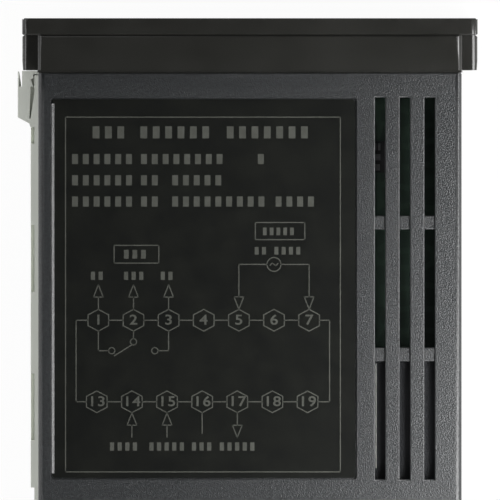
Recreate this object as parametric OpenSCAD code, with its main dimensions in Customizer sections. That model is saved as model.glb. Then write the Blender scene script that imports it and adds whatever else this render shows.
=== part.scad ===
// Panel counter for a square cut-out: a glossy bezel with a window and four keys, a textured case with
// vents and a sunken wiring label, a screw terminal base and a ratchet clip that slides along the case.
// The origin is the middle of the panel plane. The front looks along -Y and the label lies on top.

/* [Front bezel] */
// Width and height of the square front
bezel_w = 72; // [68:1:96]
// Depth of the bezel from its front face to the panel
bezel_depth = 8.2; // [7.5:0.1:12]
// Thickness of the front plate
plate_t = 2.7; // [2.4:0.1:4]
// Corner radius of the front plate
bezel_r = 1.1; // [0.5:0.1:2]
// How far the bezel stands out past the case on each side
flange = 2.5; // [2.2:0.1:4]
// Corner radius of the four ribs behind the plate
rib_r = 1; // [0.4:0.1:1.6]
// Length of the lead-in taper on the ribs
taper_len = 1.65; // [0.5:0.05:3]
// Depth of that taper at the rear
taper_depth = 0.12; // [0.05:0.01:0.4]
// Thickness of the collar inside the ribs
collar_t = 0.7; // [0.5:0.05:0.8]
// How far the collar stands out past the case
collar_proud = 0.1; // [0.1:0.05:0.2]
// Corner radius of the collar
collar_r = 0.2; // [0.1:0.05:0.25]
// Mouth of the V groove between the plate and the ribs
groove_mouth = 0.5; // [0.3:0.1:1.2]
// Depth of the V groove
groove_depth = 0.25; // [0.15:0.05:0.8]
// Chamfer round the front edge
front_chamfer = 0.35; // [0.1:0.05:0.8]

/* [Case] */
// Wall thickness of the case
wall = 2; // [1.7:0.1:2.6]
// Radius of the case's long edges
case_r = 1; // [0.2:0.1:1.5]
// Distance of the case's shoulder behind the panel
seam = 0.4; // [0.3:0.1:1]
// Chamfer on the shoulder
shoulder_chamfer = 0.2; // [0.1:0.05:0.4]
// Length of case behind the label and the vents
rear_margin = 7.55; // [7:0.05:20]

/* [Label and vents] */
// Length of the label recess and of the vent field
label_len = 60.4; // [50:0.2:90]
// Distance of the recess and the vents behind the panel
label_start = 4.35; // [3:0.05:8]
// Distance of the recess from the clip side of the case
label_margin = 2; // [1.5:0.1:5]
// Depth of the label recess
recess_depth = 0.4; // [0.2:0.05:0.8]
// Corner radius of the recess
recess_r = 0.5; // [0.2:0.1:2]
// Thickness of the printed sheet in the recess
sheet_t = 0.15; // [0.1:0.05:0.3]
// Gap between the sheet and the recess wall
sheet_gap = 0.25; // [0.1:0.05:0.5]
// Number of vent columns
vent_columns = 3; // [2:1:4]
// Number of slots in a column
vent_rows = 3; // [2:1:5]
// Width of a vent slot
slot_w = 1.6; // [1:0.1:2.2]
// Distance between vent columns
slot_pitch = 3.92; // [3:0.02:4.4]
// Bar left between two slots of a column
slot_bar = 2.2; // [1.5:0.02:4]
// Depth of the shallow groove along each column
vent_groove = 0.4; // [0.2:0.05:0.8]
// Distance of the vents from the label recess
vent_gap = 2.9; // [1.5:0.1:5]
// Distance of the vents from the side of the case
vent_margin = 4.25; // [3.6:0.05:8]

/* [Mounting clip] */
// Width of the clip's arm across the case's side
clip_w = 21.9; // [16:0.1:26]
// Reach of the arm's foot flanges under the guide lips
foot_reach = 2; // [1.2:0.1:3]
// Thickness of the foot flanges
foot_t = 0.6; // [0.5:0.05:1]
// Thickness of the guide lips on the case
lip_t = 0.9; // [0.7:0.05:1.3]
// Thickness of the case under the guide channel
channel_floor_t = 1.6; // [1.2:0.1:2]
// Height of the arm's inner layer above the case's side
arm_rise = 0.9; // [0.7:0.05:1.6]
// Height of the pads on the inner layer
pad_rise = 0.6; // [0.4:0.05:1]
// Distance of the pads' rear end behind the panel
arm_len = 66.6; // [50:0.1:68]
// Length of the thin tail behind the pads
tail_len = 4; // [1:0.1:5]
// Start of the first wide pad behind the panel
pad_first = 11.7; // [11:0.1:16]
// Length of a wide pad
pad_len = 13; // [6:0.1:18]
// Distance from one wide pad to the next
pad_pitch = 23.7; // [20:0.1:28]
// Set-back of the arm's edge between two pads
pad_setback = 3; // [1:0.1:5]
// Length of the locking tongue
tongue_len = 8.5; // [7.5:0.1:10]
// Height of the tongue's thumb block above the case's side
thumb_rise = 3.55; // [3.3:0.05:5]
// Height of the tongue's tip above the case's side
tip_rise = 2.85; // [2.4:0.05:3]
// Length of the tip in front of the thumb block
tip_len = 2.5; // [2:0.1:3.5]
// Gap between the tongue and the arm
tongue_gap = 0.2; // [0.15:0.05:0.5]
// Height of the teeth of the rack in the channel
rack_h = 1.2; // [0.6:0.05:1.4]
// Width of the rack
rack_w = 9; // [5:0.1:11]
// Distance between rack teeth
rack_pitch = 2; // [1.2:0.1:3]

/* [Window and keys] */
// Margin of the window at the sides and at the top
window_margin = 8; // [6:0.1:12]
// Height of the window
window_h = 34; // [28:0.5:36]
// Thickness of the window pane
window_t = 1.5; // [1:0.1:1.8]
// Width of the ledge that carries the pane
window_ledge = 1.5; // [0.8:0.1:3]
// Width of a key cap
key_w = 9; // [6:0.1:11]
// Height of a key cap
key_h = 5.5; // [4:0.1:7]
// Corner radius of a key cap
key_r = 0.8; // [0.3:0.1:1.5]
// Distance between keys
key_pitch = 14; // [13:0.1:17]
// Distance of the keys' centres from the lower edge
key_rise = 17; // [11:0.1:19]
// How far a key cap stands out of the front
key_proud = 0.2; // [0.1:0.05:1.2]
// Travel of a key
key_travel = 0.4; // [0.2:0.05:0.6]
// Reach of the rim that holds a key behind the plate
key_rim = 0.7; // [0.4:0.1:1]
// Radius of an indicator lamp
lamp_r = 1.5; // [1:0.1:1.6]
// Distance of the lamps above the keys' centres
lamp_rise = 7; // [6:0.1:7.4]
// Distance between the two lamps
lamp_pitch = 28; // [10:0.5:40]

/* [Terminals] */
// Number of terminals in a row
terminal_count = 7; // [5:1:8]
// Thickness of the rim behind the case
rim_t = 2.5; // [2:0.1:4]
// Length of the spigot inside the case
spigot_len = 5; // [4:0.1:6]
// Wall thickness of the spigot and of the middle block
spigot_t = 1.6; // [1.2:0.1:2]
// Height of the barriers behind the rim
barrier_h = 9.5; // [9:0.1:14]
// Thickness of a barrier
barrier_t = 1.5; // [1:0.1:2]
// Height of the block between the two rows
middle_h = 27; // [20:0.5:28]
// Set-back of the middle block from the ends of the barriers
middle_drop = 0.6; // [0.3:0.1:2]
// Set-back of the barriers from the edge of the case
barrier_margin = 0.8; // [0.4:0.1:1.5]
// Distance of the screws from the middle block
screw_rise = 7.4; // [5:0.1:8]
// Radius of a screw head
head_r = 2.8; // [2.2:0.1:3]
// Height of a screw head
head_h = 2; // [1.5:0.1:2.4]
// Radius of a screw shank
shank_r = 1.45; // [1.2:0.05:1.7]
// Thickness of a terminal tag
tag_t = 1; // [0.8:0.1:1.2]
// Thickness of a clamp plate
clamp_t = 1; // [0.8:0.1:1.4]
// Width of a tag's tail
tail_w = 3; // [2:0.1:4]

/* [Boards] */
// Thickness of the circuit boards
board_t = 1.6; // [1.2:0.1:2]
// Distance of the two long boards from the case's inside
board_drop = 5.6; // [4:0.1:7]
// Reach of the rails that hold the long boards
rail_d = 1.2; // [0.8:0.1:1.6]
// Thickness of a rail
rail_t = 1.2; // [0.8:0.1:1.6]
// Depth of the digit modules
digit_depth = 6.5; // [6:0.1:8]
// Width of a digit module in the upper row
upper_digit_w = 25; // [18:0.1:27]
// Height of a digit module in the upper row
upper_digit_h = 14; // [10:0.1:16]
// Width of a digit module in the lower row
lower_digit_w = 22.6; // [16:0.1:26]
// Height of a digit module in the lower row
lower_digit_h = 10; // [8:0.1:12]
// Height left between the two rows of digits
digit_gap = 2.5; // [1:0.1:4]
// Width and height of a key switch
switch_w = 6; // [5:0.1:7]
// Depth of a key switch without its plunger
switch_h = 3.5; // [3:0.1:4]
// Radius of a switch plunger
plunger_r = 1.6; // [1.2:0.1:2]
// Width of the transformer's laminations
core_w = 26; // [22:0.5:28]
// Thickness of the stack of laminations
core_t = 13; // [10:0.5:15]
// Width of the relay
relay_w = 19; // [14:0.1:22]
// Length of the relay
relay_len = 15.4; // [10:0.1:18]
// Height of the relay
relay_h = 15; // [10:0.1:20]
// Radius of a filter capacitor
capacitor_r = 5; // [3:0.1:5.6]
// Height of a filter capacitor
capacitor_h = 16; // [10:0.5:22]
// Radius of the fuse
fuse_r = 4.2; // [3:0.1:4.6]
// Height of the fuse
fuse_h = 7.7; // [6:0.1:9]
// Radius of the varistor's disc
varistor_r = 4.5; // [3:0.1:5]
// Thickness of the varistor's disc
varistor_t = 3.6; // [2.5:0.1:4.5]
// Distance between header pins
pin_pitch = 2.54; // [2:0.01:2.54]
// Number of pins in a header
pin_count = 10; // [4:1:12]

/* [Fits] */
// Clearance of pieces that plug together
fit_gap = 0.15; // [0.1:0.05:0.2]
// Clearance of the clip in its channel
slide_gap = 0.15; // [0.1:0.05:0.25]
// Clearance round a key
key_gap = 0.2; // [0.1:0.05:0.3]
// Clearance of pieces that seat on each other
seat_gap = 0.1; // [0.05:0.05:0.15]
// Clearance of a board's edge
board_gap = 0.3; // [0.2:0.1:0.5]

/* [Hidden] */
$fn = 48;
cut = 1;
front_y = -bezel_depth;
plate_back = front_y + plate_t;
bezel_half = bezel_w / 2;
case_w = bezel_w - 2 * flange;
case_half = case_w / 2;
collar_w = case_w + 2 * collar_proud;
cavity_w = collar_w - 2 * collar_t;
neck_w = cavity_w - 2 * fit_gap;
neck_front = plate_back + seat_gap;
inner_half = case_half - wall;
case_len = label_start + label_len + rear_margin;

vent_w = (vent_columns - 1) * slot_pitch + slot_w;
recess_w = case_w - label_margin - vent_gap - vent_w - vent_margin;
recess_x = case_half - label_margin - recess_w / 2;
vent_x = -case_half + vent_margin + slot_w / 2;
slot_len = (label_len - (vent_rows - 1) * slot_bar) / vent_rows;

clip_half = clip_w / 2;
lip_x = case_half - lip_t;
floor_x = lip_x - foot_t - 2 * slide_gap;
bulge_x = floor_x - channel_floor_t;
mouth_half = clip_half + slide_gap;
channel_half = mouth_half + foot_reach;
bulge_half = channel_half + channel_floor_t;
channel_inset = 1;
channel_front = seam + channel_inset;
rack_start = channel_front + channel_inset;
rack_teeth = floor((case_len - rack_start) / rack_pitch) - 1;

window_w = bezel_w - 2 * window_margin;
window_z = bezel_half - window_margin - window_h / 2;
key_z = -bezel_half + key_rise;
lamp_z = key_z + lamp_rise;
key_count = 4;

digit_front = plate_back + seat_gap;
display_y = digit_front + digit_depth;
display_back = display_y + board_t;
upper_digit_z = window_z + (lower_digit_h + digit_gap) / 2;
lower_digit_z = window_z - (upper_digit_h + digit_gap) / 2;
post_r = 1.9;
post_inset = 2.3;
post_at = inner_half - board_gap - post_inset;
board_screw_r = 0.9;
board_screw_len = 4;
board_head_r = 1.8;
board_head_h = 1.2;
rim_front = plate_back + seat_gap;
key_rim_t = 0.8;
key_stem = 0.6;
plunger_sink = 1;
plunger_front = rim_front + key_rim_t + key_stem;
plunger_back = display_y - switch_h + plunger_sink;

board_w = 2 * (inner_half - board_gap);
board_front = display_back + board_gap;
board_end_gap = 3;
board_back = case_len - spigot_len - board_end_gap;
board_mid = (board_front + board_back) / 2;
board_z = inner_half - board_drop - board_t / 2;
rail_end_gap = 1;
rail_front = board_front + rail_end_gap;
rail_back = board_back - rail_end_gap;
pin_w = 0.64;
pin_hole_r = 0.55;
pin_bend = 1;
strip_w = 2.5;
strip_inset = 1.5;
strip_y = board_front + strip_inset;

// Places of the parts on the two long boards, from the boards' sides and ends
core_inset = 5;
core_back = 9;
core_x = -board_w / 2 + core_w / 2 + core_inset;
core_y = board_back - core_t / 2 - core_back;
limb = core_w / 3;
yoke = core_w / 6;
core_window = core_w / 2;
bobbin_reach = 4;
relay_inset = 6;
relay_back = 8;
capacitor_x = 6;
capacitor_gap = 3;
capacitor_inset = 8;
fuse_inset = 5;
fuse_front = 15.5;
varistor_inset = 20;
varistor_front = 20;
rectifier_inset = 12;
rectifier_front = 10;
regulator_inset = 12;
regulator_front = 20;
supply_chip_front = 9.4;
cover_t = 0.4;
cover_gap = 0.4;
cover_w = 17.5;
memory_inset = 13;
crystal_inset = 13;
opto_back = 12;

// Chips: length, width and height of the body, then the leads on a side and their reach
soic_8 = [5, 4, 1.5, 4, 1];
soic_16 = [10, 4, 1.6, 8, 1];
soic_28 = [18, 7.5, 2.4, 14, 1.4];
dip_4 = [4.6, 6.4, 3.4, 2, 1];
bridge_dip = [8.5, 6.4, 3.2, 2, 1];
crystal_can = [11, 4.7, 3.5];
crystal_r = 2.2;

base_floor = case_len + rim_t;
base_end = base_floor + barrier_h;
middle_half = middle_h / 2;
middle_end = base_end - middle_drop;
terminal_pitch = (2 * inner_half - 2 * barrier_margin - barrier_t) / terminal_count;
barrier_end = case_half - barrier_margin;
screw_z = middle_half + screw_rise;
tail_z = board_z + board_t / 2 + seat_gap;
tail_t = 0.8;
tail_grip = 4;
tag_gap = 0.3;
tag_w = terminal_pitch - barrier_t - 2 * tag_gap;
clamp_gap = 0.4;
clamp_w = terminal_pitch - barrier_t - 2 * clamp_gap;
clamp_r = 0.6;
clamp_y = base_floor + tag_t;
head_y = clamp_y + clamp_t;
shank_end = 1;
shank_len = tag_t + clamp_t + rim_t + shank_end;

// Shapes that several pieces share

// Extrudes an outline drawn in X and Z from one depth to another
module along_y(from, to) {
    translate([0, to, 0]) rotate([90, 0, 0]) linear_extrude(to - from) children();
}

module block(low, high) {
    translate(low) cube(high - low);
}

module rounded_rect(w, h, r) {
    square([w - 2 * r, h], center = true);
    square([w, h - 2 * r], center = true);
    for (sx = [-1, 1], sz = [-1, 1])
        translate([sx * (w / 2 - r), sz * (h / 2 - r)]) circle(r);
}

// A bar of triangular section round the four sides of a square, to cut grooves and chamfers
module ring_bar(half, profile) {
    for (turn = [0:90:270])
        rotate([0, turn, 0]) translate([-half - cut, 0, half]) rotate([90, 0, 90])
            linear_extrude(2 * (half + cut)) polygon(profile);
}

// Cylinder along Y
module rod_y(r, from, to) {
    translate([0, from, 0]) rotate([-90, 0, 0]) cylinder(r = r, h = to - from);
}

// A chip that stands on the XY plane, with leads down both long sides
module chip(form) {
    lead_w = 0.4;
    lead_t = 0.25;
    foot = 0.2;
    half_len = form[0] / 2;
    half_w = form[1] / 2;
    lead_count = form[3];
    lead_end = half_w + form[4];
    lead_pitch = form[0] / lead_count;
    mid = foot + form[2] / 2;
    block([-half_len, -half_w, foot], [half_len, half_w, foot + form[2]]);
    for (side = [0, 180], i = [0:lead_count - 1])
        rotate([0, 0, side]) translate([(i - (lead_count - 1) / 2) * lead_pitch - lead_w / 2, 0, 0]) {
            block([0, half_w - lead_t, mid - lead_t], [lead_w, lead_end, mid]);
            block([0, lead_end - lead_t, 0], [lead_w, lead_end, mid]);
        }
}

// Places a piece so that it hangs under the power board
module under_power(x, y) {
    translate([x, y, board_z - board_t / 2]) mirror([0, 0, 1]) children();
}

// Places a piece so that it stands on the signal board
module on_signal(x, y) {
    translate([x, y, -board_z + board_t / 2]) children();
}

module at_keys() {
    for (i = [0:key_count - 1]) translate([key_x(i), 0, key_z]) children();
}

function key_x(i) = (i - (key_count - 1) / 2) * key_pitch;

// Places a piece at every terminal; the lower row is the upper one turned over
module at_terminals() {
    for (turn = [0, 180], i = [0:terminal_count - 1])
        rotate([0, turn, 0]) translate([(i - (terminal_count - 1) / 2) * terminal_pitch, 0, 0]) children();
}

// Front

module front_outline() {
    rounded_rect(bezel_w, bezel_w, bezel_r);
}

// Cross of four ribs, each as wide as the case
module rib_outline() {
    rounded_rect(case_w, bezel_w, rib_r);
    rounded_rect(bezel_w, case_w, rib_r);
}

module front_bezel() {
    color("#2b2b29") difference() {
        union() {
            along_y(front_y, plate_back) front_outline();
            difference() {
                union() {
                    along_y(plate_back, 0) rib_outline();
                    along_y(plate_back, seam - seat_gap) rounded_rect(collar_w, collar_w, collar_r);
                }
                along_y(plate_back, seam + cut) square(cavity_w, center = true);
            }
            for (sx = [-1, 1], sz = [-1, 1])
                translate([sx * post_at, 0, sz * post_at]) rod_y(post_r, plate_back, display_y);
        }
        translate([0, plate_back, 0])
            ring_bar(bezel_half, [[-groove_mouth / 2, cut], [-groove_mouth / 2, 0], [0, -groove_depth],
                [groove_mouth / 2, 0], [groove_mouth / 2, cut]]);
        ring_bar(bezel_half, [[-taper_len, cut], [-taper_len, 0], [0, -taper_depth], [cut, -taper_depth],
            [cut, cut]]);
        translate([0, front_y, 0])
            ring_bar(bezel_half, [[-cut, cut], [-cut, -front_chamfer - cut], [front_chamfer, 0],
                [front_chamfer, cut]]);
        translate([0, 0, window_z]) {
            along_y(front_y - cut, front_y + window_t + seat_gap) square([window_w, window_h], center = true);
            along_y(front_y, plate_back + cut)
                square([window_w - 2 * window_ledge, window_h - 2 * window_ledge], center = true);
        }
        at_keys() along_y(front_y - cut, plate_back + cut)
            rounded_rect(key_w + 2 * key_gap, key_h + 2 * key_gap, key_r + key_gap);
        for (sx = [-1, 1])
            translate([sx * lamp_pitch / 2, 0, lamp_z])
                rod_y(lamp_r + seat_gap, front_y - cut, plate_back + cut);
        for (sx = [-1, 1], sz = [-1, 1])
            translate([sx * post_at, 0, sz * post_at])
                rod_y(board_screw_r + seat_gap / 2, display_y - board_screw_len, display_y + cut);
    }
}

module display_window() {
    color("#3a1512") translate([0, 0, window_z])
        along_y(front_y + seat_gap, front_y + seat_gap + window_t)
            square([window_w - 2 * fit_gap, window_h - 2 * fit_gap], center = true);
}

module key_cap(i) {
    translate([key_x(i), 0, key_z]) {
        along_y(front_y - key_proud, rim_front) rounded_rect(key_w, key_h, key_r);
        along_y(rim_front, rim_front + key_rim_t)
            rounded_rect(key_w + 2 * (key_gap + key_rim), key_h + 2 * (key_gap + key_rim), key_r);
        rod_y(plunger_r, rim_front + key_rim_t, plunger_front);
    }
}

module reset_key() {
    color("#8f3a34") key_cap(3);
}

module set_key() {
    color("#6f7173") key_cap(0);
}

module shift_key() {
    color("#6f7173") key_cap(1);
}

module raise_key() {
    color("#6f7173") key_cap(2);
}

module switch_plunger(i) {
    color("#202020") translate([key_x(i), 0, key_z]) rod_y(plunger_r, plunger_front, plunger_back);
}

module reset_plunger() {
    switch_plunger(3);
}

module set_plunger() {
    switch_plunger(0);
}

module shift_plunger() {
    switch_plunger(1);
}

module raise_plunger() {
    switch_plunger(2);
}

module switch_bodies() {
    color("#353535") at_keys() difference() {
        along_y(display_y - switch_h, display_y) square(switch_w, center = true);
        rod_y(plunger_r + seat_gap, display_y - switch_h - cut, plunger_back + key_travel + seat_gap);
    }
}

module display_board() {
    color("#1f4a2c") difference() {
        along_y(display_y, display_back) hollow_outline(board_gap);
        for (sx = [-1, 1], sz = [-1, 1])
            translate([sx * post_at, 0, sz * post_at])
                rod_y(board_screw_r + seat_gap, display_y - cut, display_back + cut);
        at_pins() rod_y(pin_hole_r, display_y - cut, display_back + cut);
    }
}

module digit_row(w, h, z) {
    for (sx = [-1, 1])
        translate([sx * (w + seat_gap) / 2, 0, z])
            along_y(digit_front, display_y) square([w, h], center = true);
}

module upper_digits() {
    color("#4a4a4a") digit_row(upper_digit_w, upper_digit_h, upper_digit_z);
}

module lower_digits() {
    color("#4a4a4a") digit_row(lower_digit_w, lower_digit_h, lower_digit_z);
}

module indicator_lamps() {
    lamp_flange = 0.4;
    lamp_flange_t = 1;
    color("#b8453a") for (sx = [-1, 1]) translate([sx * lamp_pitch / 2, 0, lamp_z]) {
        rod_y(lamp_r, front_y + lamp_r, display_y);
        translate([0, front_y + lamp_r, 0]) sphere(lamp_r);
        rod_y(lamp_r + lamp_flange, display_y - lamp_flange_t, display_y);
    }
}

module display_driver() {
    color("#232323") translate([0, display_back, 0]) rotate([-90, 0, 0]) chip(soic_16);
}

module board_screws() {
    color("#b9bbbd") for (sx = [-1, 1], sz = [-1, 1]) translate([sx * post_at, 0, sz * post_at]) {
        rod_y(board_screw_r, display_y - board_screw_len + seat_gap, display_back);
        rod_y(board_head_r, display_back, display_back + board_head_h);
    }
}

// Places a piece at every pin of the two headers, on the pin's axis
module at_pins() {
    pin_z = board_z - board_t / 2 - strip_w / 2;
    for (turn = [0, 180], i = [0:pin_count - 1])
        rotate([0, turn, 0]) translate([(i - (pin_count - 1) / 2) * pin_pitch, 0, pin_z]) children();
}

module header_strips() {
    strip_len = pin_count * pin_pitch;
    color("#1c1c1c") for (turn = [0, 180]) rotate([0, turn, 0])
        translate([0, 0, board_z - board_t / 2 - strip_w]) difference() {
            block([-strip_len / 2, strip_y, 0], [strip_len / 2, strip_y + strip_w, strip_w]);
            for (i = [0:pin_count - 1])
                translate([(i - (pin_count - 1) / 2) * pin_pitch, 0, strip_w / 2])
                    rod_y(pin_hole_r, strip_y - cut, strip_y + strip_w + cut);
        }
}

module header_pins() {
    bend_y = strip_y + strip_w + pin_bend;
    color("#c9b46a") at_pins() {
        block([-pin_w / 2, display_y + seat_gap, -pin_w / 2], [pin_w / 2, bend_y, pin_w / 2]);
        block([-pin_w / 2, bend_y - pin_w, 0], [pin_w / 2, bend_y, strip_w / 2]);
    }
}

// Long boards and what they carry

module long_board(z) {
    block([-board_w / 2, board_front, z - board_t / 2], [board_w / 2, board_back, z + board_t / 2]);
}

module power_board() {
    color("#1f4a2c") long_board(board_z);
}

module signal_board() {
    color("#1f4a2c") long_board(-board_z);
}

module transformer_core() {
    color("#55585c") under_power(core_x, core_y) along_y(-core_t / 2, core_t / 2) difference() {
        translate([-core_w / 2, 0]) square([core_w, core_window + 2 * yoke]);
        for (sx = [-1, 1])
            translate([sx * (limb + yoke) / 2 - yoke / 2, yoke]) square([yoke, core_window]);
    }
}

module transformer_bobbin() {
    cheek_t = 1;
    coil_x = limb / 2 + yoke - seat_gap;
    coil_y = core_t / 2 + bobbin_reach;
    low = yoke + seat_gap;
    high = yoke + core_window - seat_gap;
    inset = 0.6;
    pin_r = 0.5;
    pin_inset = 1;
    color("#b58a3c") under_power(core_x, core_y) difference() {
        union() {
            block([-coil_x, -coil_y, low], [coil_x, coil_y, low + cheek_t]);
            block([-coil_x, -coil_y, high - cheek_t], [coil_x, coil_y, high]);
            block([-coil_x + inset, -coil_y + inset, low], [coil_x - inset, coil_y - inset, high]);
            for (sx = [-1, 1], sy = [-1, 1])
                translate([sx * (coil_x - pin_inset), sy * (coil_y - pin_inset), 0])
                    cylinder(r = pin_r, h = low + cheek_t / 2);
        }
        block([-limb / 2 - seat_gap, -core_t / 2 - seat_gap, 0],
            [limb / 2 + seat_gap, core_t / 2 + seat_gap, high + cut]);
    }
}

module output_relay() {
    relay_r = 0.8;
    relay_x = board_w / 2 - relay_w / 2 - relay_inset;
    relay_y = board_back - relay_len / 2 - relay_back;
    color("#2c5d8f") under_power(relay_x, relay_y)
        linear_extrude(relay_h) rounded_rect(relay_w, relay_len, relay_r);
}

// Can with a rolled bead near its foot
module capacitor_can(r, h) {
    bead = 0.5;
    rotate_extrude() polygon([[0, 0], [r, 0], [r, 3 * bead], [r - bead, 4 * bead], [r, 5 * bead],
        [r, h - bead], [r - bead, h], [0, h]]);
}

module filter_capacitors() {
    capacitor_y = board_front + capacitor_r + capacitor_inset;
    color("#2d3550") for (sx = [-1, 1])
        under_power(capacitor_x + sx * (capacitor_r + capacitor_gap / 2), capacitor_y)
            capacitor_can(capacitor_r, capacitor_h);
}

module fuse() {
    color("#8a3324") under_power(-board_w / 2 + fuse_r + fuse_inset, board_front + fuse_r + fuse_front)
        cylinder(r = fuse_r, h = fuse_h);
}

module varistor() {
    lead_r = 0.4;
    stand_off = 1;
    color("#3a6fa0") under_power(-board_w / 2 + varistor_inset, board_front + varistor_front) {
        translate([0, 0, varistor_r + stand_off]) rod_y(varistor_r, -varistor_t / 2, varistor_t / 2);
        for (sx = [-1, 1]) translate([sx * varistor_r / 2, 0, 0]) cylinder(r = lead_r, h = varistor_r);
    }
}

module bridge_rectifier() {
    color("#1d1d1d") under_power(-board_w / 2 + rectifier_inset, board_front + rectifier_front)
        chip(bridge_dip);
}

module voltage_regulator() {
    body_w = 10;
    body_t = 4.5;
    body_h = 9;
    tab_t = 1.3;
    tab_h = 18;
    lead_h = 3;
    lead_w = 0.8;
    hole_r = 1.8;
    color("#303030") under_power(board_w / 2 - regulator_inset, board_front + regulator_front) {
        translate([-body_w / 2, 0, lead_h]) cube([body_w, body_t, body_h]);
        difference() {
            translate([-body_w / 2, 0, lead_h]) cube([body_w, tab_t, tab_h - lead_h]);
            translate([0, 0, (lead_h + body_h + tab_h) / 2]) rod_y(hole_r, -cut, tab_t + cut);
        }
        for (i = [-1:1]) translate([i * pin_pitch - lead_w / 2, body_t / 2, 0])
            cube([lead_w, lead_w, lead_h + lead_w]);
    }
}

// Folded sheet that stands on the power board over its mains tracks, close under the rear row of vents
module insulating_cover() {
    low_z = board_z + board_t / 2 + seat_gap;
    top_z = inner_half - cover_gap;
    rear = label_start + label_len + slot_bar / 2;
    front = rear - slot_len - slot_bar;
    side = -inner_half + rail_d + board_gap;
    color("#8b8f90") difference() {
        block([side, front, low_z], [side + cover_w, rear, top_z]);
        block([side + cover_t, front - cut, low_z - cut],
            [side + cover_w - cover_t, rear + cut, top_z - cover_t]);
    }
}

module supply_chip() {
    chip_x = vent_x + (vent_columns - 1) * slot_pitch;
    color("#1b1b1b") translate([chip_x, label_start + supply_chip_front, board_z + board_t / 2])
        rotate([0, 0, 90]) chip(soic_8);
}

module microcontroller() {
    color("#1b1b1b") on_signal(0, board_mid) chip(soic_28);
}

module memory_chip() {
    color("#1b1b1b") on_signal(board_w / 2 - memory_inset, board_mid) chip(soic_8);
}

module crystal() {
    color("#b9bbbd") on_signal(-board_w / 2 + crystal_inset, board_mid)
        linear_extrude(crystal_can[2]) rounded_rect(crystal_can[0], crystal_can[1], crystal_r);
}

module optocouplers() {
    color("#262626") for (i = [-1:1])
        on_signal(i * 2 * terminal_pitch, board_back - opto_back) chip(dip_4);
}

// Case

// Guide channel for the clip on one side: a mouth between two lips, wider under them
module channel_outline() {
    translate([floor_x, -channel_half]) square([lip_x - floor_x, 2 * channel_half]);
    translate([lip_x - seat_gap, -mouth_half]) square([case_half - lip_x + cut, 2 * mouth_half]);
}

module both_sides() {
    for (side = [0, 1]) mirror([side, 0, 0]) children();
}

// Outside of the case with its two guide channels, which the terminal base repeats
module case_outline() {
    difference() {
        rounded_rect(case_w, case_w, case_r);
        both_sides() channel_outline();
    }
}

// Hollow of the case; the channels' floors stand into it at the sides
module hollow_outline(gap) {
    difference() {
        square(2 * (inner_half - gap), center = true);
        both_sides() translate([bulge_x - gap, -bulge_half - gap])
            square([inner_half, 2 * (bulge_half + gap)]);
    }
}

// Saw teeth along the channel floor: steep towards the panel, sloping towards the rear
module rack() {
    sink = channel_floor_t / 2;
    translate([0, 0, -rack_w / 2]) linear_extrude(rack_w) polygon([
        [floor_x - sink, rack_start],
        for (i = [0:rack_teeth - 1], top = [1, 0])
            [floor_x + top * rack_h, rack_start + (i + 1 - top) * rack_pitch],
        [floor_x - sink, rack_start + rack_teeth * rack_pitch]
    ]);
}

// Slots of one face with the shallow groove that joins each column
module vents() {
    column_x = vent_x - slot_w / 2;
    for (column = [0:vent_columns - 1]) translate([column_x + column * slot_pitch, label_start, 0]) {
        block([0, 0, case_half - vent_groove], [slot_w, label_len, case_half + cut]);
        for (row = [0:vent_rows - 1]) translate([0, row * (slot_len + slot_bar), 0])
            block([0, 0, inner_half - cut], [slot_w, slot_len, case_half]);
    }
}

module label_recess() {
    translate([recess_x, label_start + label_len / 2, case_half - recess_depth])
        linear_extrude(recess_depth + cut) rounded_rect(recess_w, label_len, recess_r);
}

// Pairs of rails along the side walls that hold the edges of the long boards
module board_rails() {
    for (sz = [-1, 1], side = [-1, 1])
        translate([0, 0, sz * board_z + side * (board_t / 2 + seat_gap + rail_t / 2)])
            both_sides() block([inner_half - rail_d, rail_front, -rail_t / 2],
                [inner_half + wall / 2, rail_back, rail_t / 2]);
}

module case() {
    color("#4c4e50") {
        difference() {
            union() {
                difference() {
                    along_y(seam, case_len) rounded_rect(case_w, case_w, case_r);
                    along_y(seam - cut, case_len + cut) hollow_outline(0);
                }
                difference() {
                    along_y(neck_front, seam) rounded_rect(neck_w, neck_w, case_r);
                    along_y(neck_front - cut, seam + cut) square(2 * inner_half, center = true);
                }
                board_rails();
            }
            both_sides() along_y(channel_front, case_len + cut) channel_outline();
            label_recess();
            vents();
            mirror([0, 0, 1]) vents();
            translate([0, seam, 0])
                ring_bar(case_half, [[0, cut], [0, -shoulder_chamfer], [shoulder_chamfer, 0],
                    [shoulder_chamfer, cut]]);
        }
        both_sides() rack();
    }
}

module wiring_label() {
    color("#1f201e") translate([recess_x, label_start + label_len / 2, case_half - recess_depth])
        linear_extrude(sheet_t)
            rounded_rect(recess_w - 2 * sheet_gap, label_len - 2 * sheet_gap, recess_r);
}

// Terminals

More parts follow.
